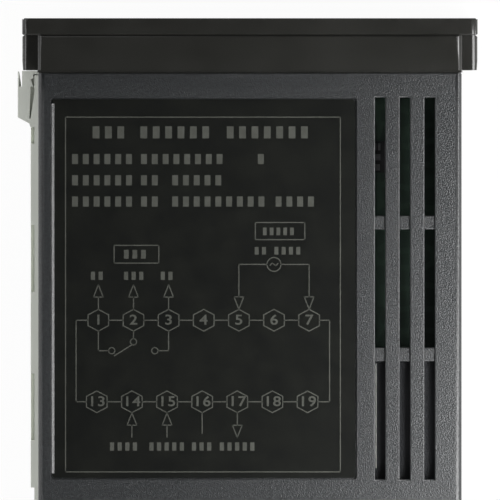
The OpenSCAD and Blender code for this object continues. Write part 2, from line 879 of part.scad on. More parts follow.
module terminal_base() {
    middle_w = terminal_count * terminal_pitch + barrier_t;
    color("#3b3d3f") difference() {
        union() {
            along_y(case_len - spigot_len, case_len) hollow_outline(fit_gap);
            along_y(case_len, base_floor) case_outline();
            block([-middle_w / 2, base_floor - cut, -middle_half], [middle_w / 2, middle_end, middle_half]);
            for (turn = [0, 180], i = [0:terminal_count])
                rotate([0, turn, 0]) translate([(i - terminal_count / 2) * terminal_pitch, 0, 0])
                    block([-barrier_t / 2, base_floor - cut, middle_half - cut],
                        [barrier_t / 2, base_end, barrier_end]);
        }
        along_y(case_len - spigot_len - cut, case_len) hollow_outline(fit_gap + spigot_t);
        block([-middle_w / 2 + spigot_t, case_len - cut, -middle_half + spigot_t],
            [middle_w / 2 - spigot_t, middle_end - spigot_t, middle_half - spigot_t]);
        at_terminals() {
            translate([0, 0, screw_z]) rod_y(shank_r + 2 * fit_gap, case_len - cut, base_floor + cut);
            translate([0, 0, tail_z + tail_t / 2])
                block([-tail_w / 2 - fit_gap, case_len - cut, -tail_t / 2 - fit_gap],
                    [tail_w / 2 + fit_gap, base_floor + cut, tail_t / 2 + fit_gap]);
        }
    }
}

module terminal_tags() {
    tag_end = 1;
    tail_front = board_back - tail_grip;
    color("#c8a752") at_terminals() difference() {
        union() {
            block([-tag_w / 2, base_floor, middle_half + tag_end],
                [tag_w / 2, base_floor + tag_t, tail_z + tail_t]);
            block([-tail_w / 2, tail_front, tail_z], [tail_w / 2, base_floor + tag_t, tail_z + tail_t]);
        }
        translate([0, 0, screw_z]) rod_y(shank_r + seat_gap / 2, base_floor - cut, base_floor + tag_t + cut);
    }
}

module clamp_plates() {
    color("#c9cbcd") at_terminals() translate([0, 0, screw_z]) difference() {
        along_y(clamp_y, clamp_y + clamp_t) rounded_rect(clamp_w, clamp_w, clamp_r);
        rod_y(shank_r + fit_gap, clamp_y - cut, clamp_y + clamp_t + cut);
    }
}

module terminal_screws() {
    cross_w = 0.9;
    cross_len = 3.6;
    cross_depth = 1.1;
    color("#c4c6c8") at_terminals() translate([0, 0, screw_z]) difference() {
        union() {
            rod_y(shank_r, head_y - shank_len, head_y);
            rod_y(head_r, head_y, head_y + head_h);
        }
        for (turn = [0, 90]) rotate([0, turn, 0])
            block([-cross_len / 2, head_y + head_h - cross_depth, -cross_w / 2],
                [cross_len / 2, head_y + head_h + cut, cross_w / 2]);
    }
}

// Clip

// Plan of a piece of the clip in X and Y, extruded across the case's side
module across(half) {
    translate([0, 0, -half]) linear_extrude(2 * half) children();
}

module mounting_clip() {
    foot_x = floor_x + slide_gap;
    arm_x = case_half + arm_rise;
    pad_x = arm_x + pad_rise;
    thumb_x = case_half + thumb_rise;
    tip_x = case_half + tip_rise;
    tip_y = seat_gap;
    thumb_y = tip_y + tip_len;
    hook_t = 0.5;
    hook_x = case_half + slide_gap;
    hook_y = tip_y + hook_t;
    arm_front = hook_y + slide_gap;
    root_len = 0.8;
    root_y = tongue_len - root_len;
    root_t = 0.3;
    web_len = 0.6;
    web_start = tongue_len + web_len;
    tail_end = arm_len + tail_len;
    rack_side = 0.7;
    groove_half = rack_w / 2 + rack_side;
    rack_top = 0.5;
    web_x = floor_x + rack_h + rack_top;
    pawl_x = floor_x + rack_h + slide_gap;
    pawl_len = 1.2;
    pawl_set = 0.5;
    pawl_back = thumb_y + pawl_set;
    pawl_front = pawl_back - pawl_len;
    thumb_chamfer = 1;
    fin_t = 0.25;
    fin_y = 2 * tip_y;
    bite = 0.45;
    bite_pitch = 1.2;
    bite_run = 1;
    bite_x = arm_x + slide_gap;
    bite_y = thumb_y - bite_pitch;
    bite_end = thumb_y + bite_run;
    color("#a4a7a0") {
        // Rails that run in the channel and the web that joins them
        difference() {
            union() {
                across(clip_half) polygon([[hook_x, arm_front], [arm_x, arm_front], [arm_x, bite_end],
                    [pad_x, root_y], [pad_x, web_start], [arm_x, web_start], [arm_x, tail_end],
                    [foot_x, tail_end], [foot_x, thumb_y], [hook_x, thumb_y]]);
                across(clip_half + foot_reach) translate([foot_x, thumb_y])
                    square([foot_t, tail_end - thumb_y]);
            }
            across(groove_half) translate([foot_x - cut, 0]) square([web_x - foot_x + cut, tail_end + cut]);
            across(groove_half) translate([foot_x - cut, 0]) square([pad_x - foot_x + 2 * cut, root_y]);
        }
        // Outer layer, wide at the pads and set back between them
        across(clip_half - pad_setback) translate([arm_x - seat_gap, root_y])
            square([pad_rise + seat_gap, arm_len - root_y]);
        for (start = [pad_first:pad_pitch:arm_len - pad_setback])
            across(clip_half) translate([arm_x - seat_gap, start])
                square([pad_rise + seat_gap, min(pad_len, arm_len - start)]);
        // Tongue with its thumb block, rooted behind and toothed inside its tip
        across(clip_half) polygon([
            [hook_x, tip_y], [tip_x, tip_y], [tip_x, thumb_y], [thumb_x - fin_t, thumb_y],
            [thumb_x - fin_t, fin_y], [thumb_x, fin_y], [thumb_x, tongue_len - thumb_chamfer],
            [pad_x + tongue_gap, tongue_len], [pad_x, web_start],
            [pad_x - root_t, web_start], [pad_x - root_t, root_y], [pad_x + tongue_gap, root_y],
            [bite_x + bite, bite_end], [bite_x + bite, thumb_y], [bite_x, thumb_y],
            [bite_x + bite, bite_y], [bite_x, bite_y], [bite_x, hook_y], [hook_x, hook_y]
        ]);
        // Rib that stiffens the tongue inside the arm's slot
        across(rack_w / 2) translate([hook_x, tip_y])
            square([tip_x - bite - hook_x, root_y - slide_gap - tip_y]);
        // Pawl that reaches down to the rack
        across(rack_w / 2) polygon([[pawl_x, pawl_back], [pawl_x + bite, pawl_front],
            [tip_x - bite, pawl_front], [tip_x - bite, pawl_back]]);
    }
}

front_bezel();
display_window();
reset_key();
set_key();
shift_key();
raise_key();
reset_plunger();
set_plunger();
shift_plunger();
raise_plunger();
switch_bodies();
display_board();
upper_digits();
lower_digits();
indicator_lamps();
display_driver();
board_screws();
header_strips();
header_pins();
power_board();
signal_board();
transformer_core();
transformer_bobbin();
output_relay();
filter_capacitors();
fuse();
varistor();
bridge_rectifier();
voltage_regulator();
insulating_cover();
supply_chip();
microcontroller();
memory_chip();
crystal();
optocouplers();
case();
wiring_label();
terminal_base();
terminal_tags();
clamp_plates();
terminal_screws();
mounting_clip();
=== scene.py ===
# Panel counter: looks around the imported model, in metres, in the model's own frame
import math
import bpy
import bmesh
from mathutils import Matrix, Vector


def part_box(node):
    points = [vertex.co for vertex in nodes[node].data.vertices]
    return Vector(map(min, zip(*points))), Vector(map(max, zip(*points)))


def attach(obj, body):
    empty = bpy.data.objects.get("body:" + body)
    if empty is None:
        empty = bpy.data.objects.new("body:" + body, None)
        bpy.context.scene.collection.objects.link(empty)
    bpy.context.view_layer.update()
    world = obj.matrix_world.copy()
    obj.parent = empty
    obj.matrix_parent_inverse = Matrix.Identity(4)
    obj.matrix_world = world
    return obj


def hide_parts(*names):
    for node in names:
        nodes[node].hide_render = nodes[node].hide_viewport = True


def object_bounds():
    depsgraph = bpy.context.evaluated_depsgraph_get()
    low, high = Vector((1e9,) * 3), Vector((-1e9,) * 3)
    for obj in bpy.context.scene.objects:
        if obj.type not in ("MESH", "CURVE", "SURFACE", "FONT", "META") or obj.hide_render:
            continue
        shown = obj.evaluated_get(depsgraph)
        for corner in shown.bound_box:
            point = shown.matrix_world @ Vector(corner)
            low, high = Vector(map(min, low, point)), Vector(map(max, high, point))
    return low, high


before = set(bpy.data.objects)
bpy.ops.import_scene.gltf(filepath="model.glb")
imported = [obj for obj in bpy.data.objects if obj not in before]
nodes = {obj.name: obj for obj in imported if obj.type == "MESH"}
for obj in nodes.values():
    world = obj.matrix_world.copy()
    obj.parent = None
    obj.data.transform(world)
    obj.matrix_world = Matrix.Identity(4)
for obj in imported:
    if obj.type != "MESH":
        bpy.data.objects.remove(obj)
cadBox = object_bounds()
mm = 0.001
near = 0.01  # millimetres within which a point counts as lying on a level
print("frame loaded:", len(nodes), "nodes")


def linear(code):
    parts = [int(code[i:i + 2], 16) / 255 for i in (1, 3, 5)]
    return [p / 12.92 if p <= 0.04045 else ((p + 0.055) / 1.055) ** 2.4 for p in parts] + [1.0]


def addNode(tree, kind, settings, inputs):
    node = tree.nodes.new(kind)
    for key, value in settings.items():
        setattr(node, key, value)
    for key, value in inputs.items():
        if isinstance(value, bpy.types.NodeSocket):
            tree.links.new(value, node.inputs[key])
        else:
            node.inputs[key].default_value = value
    return node


# Colour ramp between two stops, each a place on the ramp and a colour
def addRamp(tree, value, stops):
    ramp = addNode(tree, "ShaderNodeValToRGB", {}, {"Fac": value})
    for element, (position, code) in zip(ramp.color_ramp.elements, stops):
        element.position, element.color = position, linear(code)
    return ramp.outputs["Color"]


def addRelief(tree, base, height, look):
    bump = addNode(tree, "ShaderNodeBump", {}, {
        "Height": height, "Strength": look["relief"], "Distance": look["reliefMm"] * mm})
    tree.links.new(bump.outputs["Normal"], base.inputs["Normal"])


# Materials. Pattern sizes are in millimetres; a noise of scale 1/size has about that grain.

def startMaterial(name, shader):
    mat = bpy.data.materials.new(name)
    mat.use_nodes = True
    tree = mat.node_tree
    tree.nodes.clear()
    base = addNode(tree, "ShaderNodeBsdfPrincipled", {}, shader)
    addNode(tree, "ShaderNodeOutputMaterial", {}, {"Surface": base.outputs[0]})
    place = addNode(tree, "ShaderNodeTexCoord", {}, {})
    return mat, tree, base, place.outputs["Object"]


# Moulded or coated surface: a colour that drifts between two tones, uneven gloss and a grain in relief
pattern = {"detail": 4.0, "grainDetail": 3.0, "roughness": 0.6, "toneSpan": (0.35, 0.65), "glossSpan": (0.3, 0.7)}


def addNoise(tree, place, sizeMm, detail):
    return addNode(tree, "ShaderNodeTexNoise", {}, {
        "Vector": place, "Scale": 1 / (sizeMm * mm), "Detail": detail,
        "Roughness": pattern["roughness"]}).outputs["Fac"]


def moulded(name, look):
    shader = {"IOR": look["ior"], "Metallic": look.get("metallic", 0.0)}
    shader.update(look.get("more", {}))
    mat, tree, base, place = startMaterial(name, shader)
    drift = addNoise(tree, place, look["driftMm"], pattern["detail"])
    tone = addRamp(tree, drift, zip(pattern["toneSpan"], (look["dark"], look["light"])))
    tree.links.new(tone, base.inputs["Base Color"])
    gloss = addNode(tree, "ShaderNodeMapRange", {}, {
        "Value": drift, "From Min": pattern["glossSpan"][0], "From Max": pattern["glossSpan"][1],
        "To Min": look["rough"][0], "To Max": look["rough"][1]})
    tree.links.new(gloss.outputs["Result"], base.inputs["Roughness"])
    grain = addNoise(tree, place, look["grainMm"], look.get("grainDetail", pattern["grainDetail"]))
    addRelief(tree, base, grain, look)
    return mat


plastics = {
    # polished black ABS: nearly even, soft mirror, faint flow marks
    "polishedAbs": {"dark": "#1a1a18", "light": "#20201e", "ior": 1.54, "rough": (0.2, 0.24), "driftMm": 9,
                    "grainMm": 0.8, "relief": 0.05, "reliefMm": 0.01},
    # spark textured grey ABS: fine even grit that breaks the light into specks
    "sparkAbs": {"dark": "#1b1c1d", "light": "#27292a", "ior": 1.54, "rough": (0.3, 0.36), "driftMm": 0.5,
                 "grainMm": 0.215, "grainDetail": 1.5, "relief": 1.0, "reliefMm": 0.089},
    # black polycarbonate film under a velvet coat that takes off nearly all of its gloss
    "labelFilm": {"dark": "#0f100f", "light": "#131412", "ior": 1.58, "rough": (0.42, 0.47), "driftMm": 4,
                  "grainMm": 0.25, "relief": 0.1, "reliefMm": 0.01, "more": {"Specular IOR Level": 0.05}},
    # grey screen ink
    "labelInk": {"dark": "#3a3b37", "light": "#40413d", "ior": 1.5, "rough": (0.46, 0.52), "driftMm": 2,
                 "grainMm": 0.2, "relief": 0.1, "reliefMm": 0.01, "more": {"Specular IOR Level": 0.05}},
    # light grey natural nylon: waxy, nearly even, faint tool marks
    "clipNylon": {"dark": "#cfd2ca", "light": "#d3d6ce", "ior": 1.53, "rough": (0.42, 0.54), "driftMm": 6,
                  "grainMm": 0.5, "relief": 0.08, "reliefMm": 0.01,
                  "more": {"Subsurface Weight": 0.08, "Subsurface Radius": (0.001, 0.001, 0.001)}},
    # grey and red key caps in fine matt ABS
    "keyGreyAbs": {"dark": "#5a5c5e", "light": "#646668", "ior": 1.54, "rough": (0.38, 0.5), "driftMm": 3,
                   "grainMm": 0.2, "relief": 0.15, "reliefMm": 0.01},
    "keyRedAbs": {"dark": "#8a2b24", "light": "#96322a", "ior": 1.54, "rough": (0.38, 0.5), "driftMm": 3,
                  "grainMm": 0.2, "relief": 0.15, "reliefMm": 0.01},
    # white ink of symbols and numbers
    "keyInk": {"dark": "#d9dad6", "light": "#e4e5e1", "ior": 1.5, "rough": (0.5, 0.6), "driftMm": 2,
               "grainMm": 0.2, "relief": 0.05, "reliefMm": 0.01},
    # black flame retardant polyamide: fine matt grain, glass fibre haze
    "terminalPolyamide": {"dark": "#242526", "light": "#2f3031", "ior": 1.53, "rough": (0.45, 0.62),
                          "driftMm": 2.5, "grainMm": 0.3, "relief": 0.3, "reliefMm": 0.02},
    # epoxy moulding compound of chips and switches
    "chipEpoxy": {"dark": "#161616", "light": "#1d1d1d", "ior": 1.55, "rough": (0.5, 0.65), "driftMm": 1,
                  "grainMm": 0.12, "relief": 0.3, "reliefMm": 0.01},
    # worn laser marks on a chip
    "chipInk": {"dark": "#767777", "light": "#8c8d8d", "ior": 1.5, "rough": (0.5, 0.6), "driftMm": 0.5,
                "grainMm": 0.12, "relief": 0.1, "reliefMm": 0.01},
    # relay's glossy cover, capacitors' shrunk sleeve, fuse's cap, varistor's dipped coat, coil's polyester tape
    "relayCover": {"dark": "#1f4f86", "light": "#24588f", "ior": 1.5, "rough": (0.3, 0.4), "driftMm": 5,
                   "grainMm": 0.5, "relief": 0.05, "reliefMm": 0.01},
    "canSleeve": {"dark": "#252c46", "light": "#2c3450", "ior": 1.53, "rough": (0.25, 0.35), "driftMm": 4,
                  "grainMm": 0.6, "relief": 0.1, "reliefMm": 0.02},
    "fuseBrown": {"dark": "#6d2a1d", "light": "#783022", "ior": 1.54, "rough": (0.35, 0.5), "driftMm": 2,
                  "grainMm": 0.3, "relief": 0.1, "reliefMm": 0.01},
    "varistorEpoxy": {"dark": "#2f6494", "light": "#386fa0", "ior": 1.55, "rough": (0.25, 0.45), "driftMm": 2,
                      "grainMm": 0.7, "relief": 0.2, "reliefMm": 0.03},
    "coilTape": {"dark": "#b3852a", "light": "#c49535", "ior": 1.6, "rough": (0.25, 0.4), "driftMm": 3,
                 "grainMm": 1.2, "relief": 0.2, "reliefMm": 0.03},
    # grey pressboard: long flat fibres, dull
    "pressboard": {"dark": "#15171a", "light": "#1c1e21", "ior": 1.5, "rough": (0.7, 0.85), "driftMm": 1.2,
                   "grainMm": 0.2, "relief": 0.2, "reliefMm": 0.02},
    # pale paint for a painted highlight: the light caught by the wall of the slot next to the label, laid as a thin
    # strip on the cover's top
    "slotHighlightPaint": {"dark": "#8a8b87", "light": "#a0a19d", "ior": 1.5, "rough": (0.6, 0.75), "driftMm": 1.2,
                  "grainMm": 0.2, "relief": 0.2, "reliefMm": 0.02},
    # dull grey face of a digit module
    "digitFace": {"dark": "#2e2e2e", "light": "#343434", "ior": 1.5, "rough": (0.5, 0.6), "driftMm": 4,
                  "grainMm": 0.3, "relief": 0.1, "reliefMm": 0.01},
    # unlit segment: milky epoxy
    "segmentEpoxy": {"dark": "#8d8882", "light": "#98938c", "ior": 1.54, "rough": (0.35, 0.45), "driftMm": 1,
                     "grainMm": 0.3, "relief": 0.05, "reliefMm": 0.01},
    # bright nickel, duller zinc and tinned brass; a metal keeps the default IOR
    "nickelSteel": {"dark": "#a9aaa8", "light": "#bcbcb9", "ior": 1.5, "metallic": 1.0, "rough": (0.2, 0.34),
                    "driftMm": 1, "grainMm": 0.15, "relief": 0.1, "reliefMm": 0.01},
    "zincSteel": {"dark": "#9fa3a6", "light": "#b5b8ba", "ior": 1.5, "metallic": 1.0, "rough": (0.3, 0.45),
                  "driftMm": 0.8, "grainMm": 0.15, "relief": 0.15, "reliefMm": 0.01},
    "tinnedBrass": {"dark": "#b89a55", "light": "#c9b06c", "ior": 1.5, "metallic": 1.0, "rough": (0.28, 0.42),
                    "driftMm": 1, "grainMm": 0.2, "relief": 0.1, "reliefMm": 0.01},
}
finish = {name: moulded(name, look) for name, look in plastics.items()}


# Smoked red acrylic pane, tinted by its body, and diffused red lamp epoxy
clearLooks = {
    "smokedAcrylic": {"tint": "#a8443c", "ior": 1.49, "rough": 0.04, "clear": 1.0},
    "lampEpoxy": {"tint": "#c24a3e", "ior": 1.54, "rough": 0.18, "clear": 0.35},
}
for name, look in clearLooks.items():
    finish[name] = startMaterial(name, {
        "Base Color": linear(look["tint"]), "IOR": look["ior"], "Roughness": look["rough"],
        "Transmission Weight": look["clear"]})[0]


# Green solder resist over copper tracks, which show as paler bands
boardLook = {"track": "#314438", "resist": "#24352c", "trackSpan": (0.12, 0.16), "cellMm": 3.2, "scatter": 0.5,
             "ior": 1.52, "rough": 0.28}
finish["solderResist"], tree, base, place = startMaterial("solderResist", {
    "IOR": boardLook["ior"], "Roughness": boardLook["rough"]})
cells = addNode(tree, "ShaderNodeTexVoronoi", {"feature": "DISTANCE_TO_EDGE"}, {
    "Vector": place, "Scale": 1 / (boardLook["cellMm"] * mm), "Randomness": boardLook["scatter"]})
tone = addRamp(tree, cells.outputs["Distance"],
               zip(boardLook["trackSpan"], (boardLook["track"], boardLook["resist"])))
tree.links.new(tone, base.inputs["Base Color"])

# Stacked silicon steel: fine sheet edges, blued and slightly oily
coreLook = {"dark": "#3d4044", "light": "#5a5e63", "sheetMm": 0.5, "waver": 0.4, "detail": 2.0, "rough": 0.42,
            "relief": 0.4, "reliefMm": 0.03}
finish["siliconSteel"], tree, base, place = startMaterial("siliconSteel", {
    "Metallic": 1.0, "Roughness": coreLook["rough"]})
sheets = addNode(tree, "ShaderNodeTexWave", {"bands_direction": "Y"}, {
    "Vector": place, "Scale": math.pi / (10 * coreLook["sheetMm"] * mm),  # the texture turns 20 radians a unit
    "Distortion": coreLook["waver"], "Detail": coreLook["detail"]}).outputs["Fac"]
tone = addRamp(tree, sheets, ((0.0, coreLook["dark"]), (1.0, coreLook["light"])))
tree.links.new(tone, base.inputs["Base Color"])
addRelief(tree, base, sheets, coreLook)
print("materials made:", len(finish))


# Meshes

meshSet = {"mergeMm": 0.001, "flatDeg": 0.5, "roundDeg": 40, "plateDeg": 60, "sharpDeg": 50}


# Merged copy of a node with its flat faces joined, ready for edges to be rounded
def copyNode(name):
    bm = bmesh.new()
    bm.from_mesh(nodes[name].data)
    bmesh.ops.remove_doubles(bm, verts=bm.verts, dist=meshSet["mergeMm"] * mm)
    bmesh.ops.dissolve_limit(bm, angle_limit=math.radians(meshSet["flatDeg"]), verts=bm.verts, edges=bm.edges)
    return bm


# Rounds the convex edges that a test picks by the edge's middle point and direction, both in millimetres
def roundEdges(bm, widthMm, segments, test, least=meshSet["roundDeg"]):
    picked = []
    for edge in bm.edges:
        if len(edge.link_faces) != 2 or edge.calc_face_angle_signed(0) < math.radians(least):
            continue
        a, b = (v.co / mm for v in edge.verts)
        if test((a + b) / 2, b - a):
            picked.append(edge)
    if picked:
        bmesh.ops.bevel(bm, geom=picked, offset=widthMm * mm, offset_type="OFFSET", affect="EDGES",
                        segments=segments, profile=0.5, material=-1, clamp_overlap=False)
    return len(picked)


# How far a point lies from the part's long axis, across or up
def outreach(p):
    return max(abs(p.x), abs(p.z))


# Where a shape of unit size goes, by its middle and its size in millimetres
def placed(middle, size):
    return Matrix.Scale(mm, 4) @ Matrix.Translation(middle) @ Matrix.Diagonal((*size, 1.0))


# Gives flat faces a thickness
def thicken(bm, step):
    made = bmesh.ops.extrude_face_region(bm, geom=bm.faces[:])
    moved = [v for v in made["geom"] if isinstance(v, bmesh.types.BMVert)]
    bmesh.ops.translate(bm, verts=moved, vec=step)


def addObject(name, data):
    made = bpy.data.objects.new(name, data)
    bpy.context.scene.collection.objects.link(made)
    return made


def makePiece(bm, name, body, material, stands=()):
    for face in bm.faces:
        face.smooth = True
    for edge in bm.edges:
        edge.smooth = len(edge.link_faces) == 2 and edge.calc_face_angle(0) < math.radians(meshSet["sharpDeg"])
    mesh = bpy.data.meshes.new(name)
    bm.to_mesh(mesh)
    bm.free()
    mesh.materials.append(finish[material])
    piece = addObject(name, mesh)
    flat = piece.modifiers.new("flatFaces", "WEIGHTED_NORMAL")
    flat.keep_sharp = True
    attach(piece, body)
    if stands:
        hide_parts(*stands)


# Bezel: small rounds on the plate's outer edges, larger ones on the ribs' rear corners. A ring of corners is
# given by its level along y, its shift along y, its least reach from the axis and how far it sinks.
bezelSet = {"roundMm": 0.06, "ribRoundMm": 0.25, "ribReach": 35.9, "plateRear": -5, "plateReach": 33,
            "grooveSpan": (-5.8, -5.3), "levelMm": 0.004,
            "collar": (0.3, 0.09, 32.0, 0), "chamfer": (-7.85, -0.2, 32.0, 0), "groove": (-5.5, -0.06, 35.6, 0.12)}
bm = copyNode("front_bezel")
# the collar closes up to the case, the front's chamfer leans to the front, and the groove is steeper
for level, shift, reach, sink in (bezelSet["collar"], bezelSet["chamfer"], bezelSet["groove"]):
    ring = [v for v in bm.verts
            if abs(v.co.y / mm - level) < bezelSet["levelMm"] and outreach(v.co) > reach * mm]
    bmesh.ops.translate(bm, verts=ring, vec=(0, shift * mm, 0))
    for v in ring:
        for axis in (0, 2):
            if abs(v.co[axis]) > reach * mm:
                v.co[axis] -= math.copysign(sink * mm, v.co[axis])
grooveFront, grooveRear = bezelSet["grooveSpan"]
roundEdges(bm, bezelSet["ribRoundMm"], 3, lambda p, d: p.y > -near and outreach(p) > bezelSet["ribReach"])
roundEdges(bm, bezelSet["roundMm"], 2, lambda p, d: p.y < bezelSet["plateRear"] and (
    outreach(p) > bezelSet["plateReach"]) and not grooveFront < p.y < grooveRear)
low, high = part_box("front_bezel")
for v in bm.verts:
    v.co.x = min(max(v.co.x, low.x), high.x)  # a round never swells the plate
    v.co.z = min(max(v.co.z, low.z), high.z)
makePiece(bm, "bezelShell", "housing", "polishedAbs", ["front_bezel"])

# Case: fine rim round the label, softened vents and rear end
caseSet = {"rimMm": 0.04, "ventRoundMm": 0.2, "edgeRoundMm": 0.1, "recessMm": (-17.3, 31.7), "ventMm": (-29.5, -19.5),
           "spareMm": 0.5, "ventDeepMm": 0.45, "endDeepMm": 0.1, "outerMm": 0.2}
bm = copyNode("case")
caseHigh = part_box("case")[1] / mm
sheetLow, sheetHigh = (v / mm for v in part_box("wiring_label"))
top = caseHigh.z


def inPlan(p, sides):
    spare = caseSet["spareMm"]
    return sides[0] < p.x < sides[1] and sheetLow.y - spare < p.y < sheetHigh.y + spare


rim = roundEdges(bm, caseSet["rimMm"], 1, lambda p, d: p.z > top - near and inPlan(p, caseSet["recessMm"]))
vents = roundEdges(bm, caseSet["ventRoundMm"], 3, lambda p, d: (
    abs(p.z) > top - caseSet["ventDeepMm"] and inPlan(p, caseSet["ventMm"])))
roundEdges(bm, caseSet["edgeRoundMm"], 2, lambda p, d: (
    p.y > caseHigh.y - caseSet["endDeepMm"] and outreach(p) > top - caseSet["outerMm"]))
makePiece(bm, "caseShell", "housing", "sparkAbs", ["case"])
print("case edges softened:", rim, "round the label,", vents, "at the vents")

# Sloped inner wall of the label's recess on the clip's side, from the case's face down to the film
rimSet = {"gapMm": 0.1, "slopeMm": 0.42, "cornerMm": 0.7, "skinMm": 0.02}
bm = bmesh.new()
wide, tall = rimSet["slopeMm"] / 2, (sheetHigh.y - sheetLow.y) / 2 - rimSet["cornerMm"]
slopeX = sheetHigh.x + rimSet["gapMm"] - wide
bmesh.ops.create_grid(bm, x_segments=1, y_segments=1, size=1.0, matrix=placed(
    (slopeX, (sheetLow.y + sheetHigh.y) / 2, top), (wide, tall, 1.0)))
inner = [v for v in bm.verts if v.co.x < slopeX * mm]
bmesh.ops.translate(bm, verts=inner, vec=(0, 0, (sheetHigh.z - top) * mm))
thicken(bm, (0, 0, -rimSet["skinMm"] * mm))
bmesh.ops.recalc_face_normals(bm, faces=bm.faces)
makePiece(bm, "labelRim", "housing", "sparkAbs")

# Painted highlight: a thin pale strip on the insulating cover's top, in the slot next to the label, standing in for
# the light caught by the slot's wall
slotHighlightSet = {"x": -19.97, "wideMm": 0.13, "tallMm": 0.5, "span": (46.5, 63.0)}
bm = bmesh.new()
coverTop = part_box("insulating_cover")[1].z / mm
highlightStart, highlightEnd = slotHighlightSet["span"]
bmesh.ops.create_cube(bm, size=1.0, matrix=placed(
    (slotHighlightSet["x"], (highlightStart + highlightEnd) / 2, coverTop + slotHighlightSet["tallMm"] / 2),
    (slotHighlightSet["wideMm"], highlightEnd - highlightStart, slotHighlightSet["tallMm"])))
makePiece(bm, "paintedSlotHighlight", "housing", "slotHighlightPaint")

# Clip: soft moulded edges; the fin's edge, the teeth and the steps stay sharp
clipSet = {"roundMm": 0.1, "toothMm": 9.0, "padStartMm": 3, "padDeepMm": 0.1, "stepClearMm": 0.05,
           "finMm": 2.1, "finDeepMm": 0.4, "finEndMm": 0.5, "stepMm": (34.4, 7.95), "sinkMm": 0.65,
           "halfMm": 10.95, "webMm": 0.7,
           "gapMm": [(34.2, 0.8), (35.2, 0.8), (35.2, 3.6), (35.4, 7.9), (34.8, 7.9), (34.2, 3.6)]}
bm = copyNode("mounting_clip")
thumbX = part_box("mounting_clip")[1].x / mm
stepX, stepZ = clipSet["stepMm"]
# the fin runs out towards the lower side
finEnd = [v for v in bm.verts if v.co.x > (thumbX - clipSet["finDeepMm"]) * mm and (
    v.co.y < clipSet["finEndMm"] * mm and v.co.z < 0)]
bmesh.ops.translate(bm, verts=finEnd, vec=(0, clipSet["finMm"] * mm, 0))
# the set-back steps between the pads slope inwards, away from the light
for side in (1, -1):
    level = Vector((stepX, 0, side * stepZ)) * mm
    step = [v for v in bm.verts if abs(v.co.x - level.x) < near * mm and abs(v.co.z - level.z) < near * mm]
    bmesh.ops.translate(bm, verts=step, vec=(0, 0, -side * clipSet["sinkMm"] * mm))
roundEdges(bm, clipSet["roundMm"], 2, lambda p, d: p.x > stepX + clipSet["stepClearMm"] and (
    p.y > clipSet["toothMm"] or (p.y > clipSet["padStartMm"] and p.x > thumbX - clipSet["padDeepMm"])))
makePiece(bm, "clipBody", "clip", "clipNylon", ["mounting_clip"])
# Web at the foot of the gap between tongue and arm
webTop = clipSet["halfMm"] - clipSet["webMm"]
bm = bmesh.new()
bm.faces.new([bm.verts.new((x * mm, y * mm, -webTop * mm)) for x, y in clipSet["gapMm"]])
thicken(bm, (0, 0, 2 * webTop * mm))
bmesh.ops.recalc_face_normals(bm, faces=bm.faces)
makePiece(bm, "clipWeb", "clip", "clipNylon")

# Terminal base: softened barriers, block and rim
baseSet = {"roundMm": 0.18, "barrierMm": 1.9, "pastCaseMm": 1, "outerMm": 0.1}
bm = copyNode("terminal_base")
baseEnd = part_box("terminal_base")[1].y / mm
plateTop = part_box("clamp_plates")[1].y / mm
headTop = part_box("terminal_screws")[1].y / mm
roundEdges(bm, baseSet["roundMm"], 2, lambda p, d: p.y > plateTop - baseSet["barrierMm"] or (
    p.y > caseHigh.y + baseSet["pastCaseMm"] and abs(d.y) < near and outreach(p) > top - baseSet["outerMm"]))
makePiece(bm, "terminalBlock", "housing", "terminalPolyamide", ["terminal_base"])
print("shells rounded")

# Keys: rounded caps with a shallow dish for the symbol
keySet = {"roundMm": 0.3, "rimMm": 0.2, "dishMm": 0.06, "slopeMm": 0.12, "facing": 0.999,
          "colours": {"reset": "Red", "set": "Grey", "shift": "Grey", "raise": "Grey"}}
for key, colour in keySet["colours"].items():
    bm = copyNode(f"{key}_key")
    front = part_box(f"{key}_key")[0].y
    roundEdges(bm, keySet["roundMm"], 3, lambda p, d: p.y < front / mm + near)
    flat = [f for f in bm.faces
            if f.normal.y < -keySet["facing"] and f.calc_center_median().y < front + near * mm]
    face = bmesh.ops.dissolve_faces(bm, faces=flat)["region"][0] if len(flat) > 1 else flat[0]
    bmesh.ops.inset_region(bm, faces=[face], thickness=keySet["rimMm"] * mm, use_even_offset=True)
    bmesh.ops.inset_region(bm, faces=[face], thickness=keySet["slopeMm"] * mm, depth=-keySet["dishMm"] * mm,
                           use_even_offset=True)
    makePiece(bm, f"{key}Cap", f"{key}_button", f"key{colour}Abs", [f"{key}_key"])

# Screws and clamp plates: small rounds so that the plating catches light
metalSet = {"headRoundMm": 0.35, "plateRoundMm": 0.12}
bm = copyNode("terminal_screws")
roundEdges(bm, metalSet["headRoundMm"], 3, lambda p, d: p.y > headTop - near, meshSet["plateDeg"])
makePiece(bm, "screwHeads", "housing", "nickelSteel", ["terminal_screws"])
bm = copyNode("clamp_plates")
roundEdges(bm, metalSet["plateRoundMm"], 2, lambda p, d: p.y > plateTop - near, meshSet["plateDeg"])
makePiece(bm, "clampWashers", "housing", "zincSteel", ["clamp_plates"])


# Print: flat shapes in millimetres, x to the right and y up, given a skin's thickness and laid on a face.
# A number's height is a share of its font size, and numbers are a little bold, spaced out and widened.
printSet = {"skinMm": 0.02, "heightShare": 0.7, "boldShare": 0.022, "spacing": 1.1, "widen": 1.2}


def drawShape(bm, points):
    bm.faces.new([bm.verts.new((p[0], p[1], 0)) for p in points])


def drawBar(bm, a, b, width):
    a, b = Vector(a), Vector(b)
    along = (b - a).normalized() * width / 2
    side = Vector((-along.y, along.x))
    drawShape(bm, [a - along + side, a - along - side, b + along - side, b + along + side])


def drawPath(bm, points, width):
    for a, b in zip(points, points[1:]):
        drawBar(bm, a, b, width)


def drawFrame(bm, low, high, width):
    drawPath(bm, [low, (high[0], low[1]), high, (low[0], high[1]), low], width)


def stretched(centre, share):
    return Matrix.Translation((centre[0], centre[1], 0)) @ Matrix.Diagonal((share, 1.0, 1.0, 1.0))


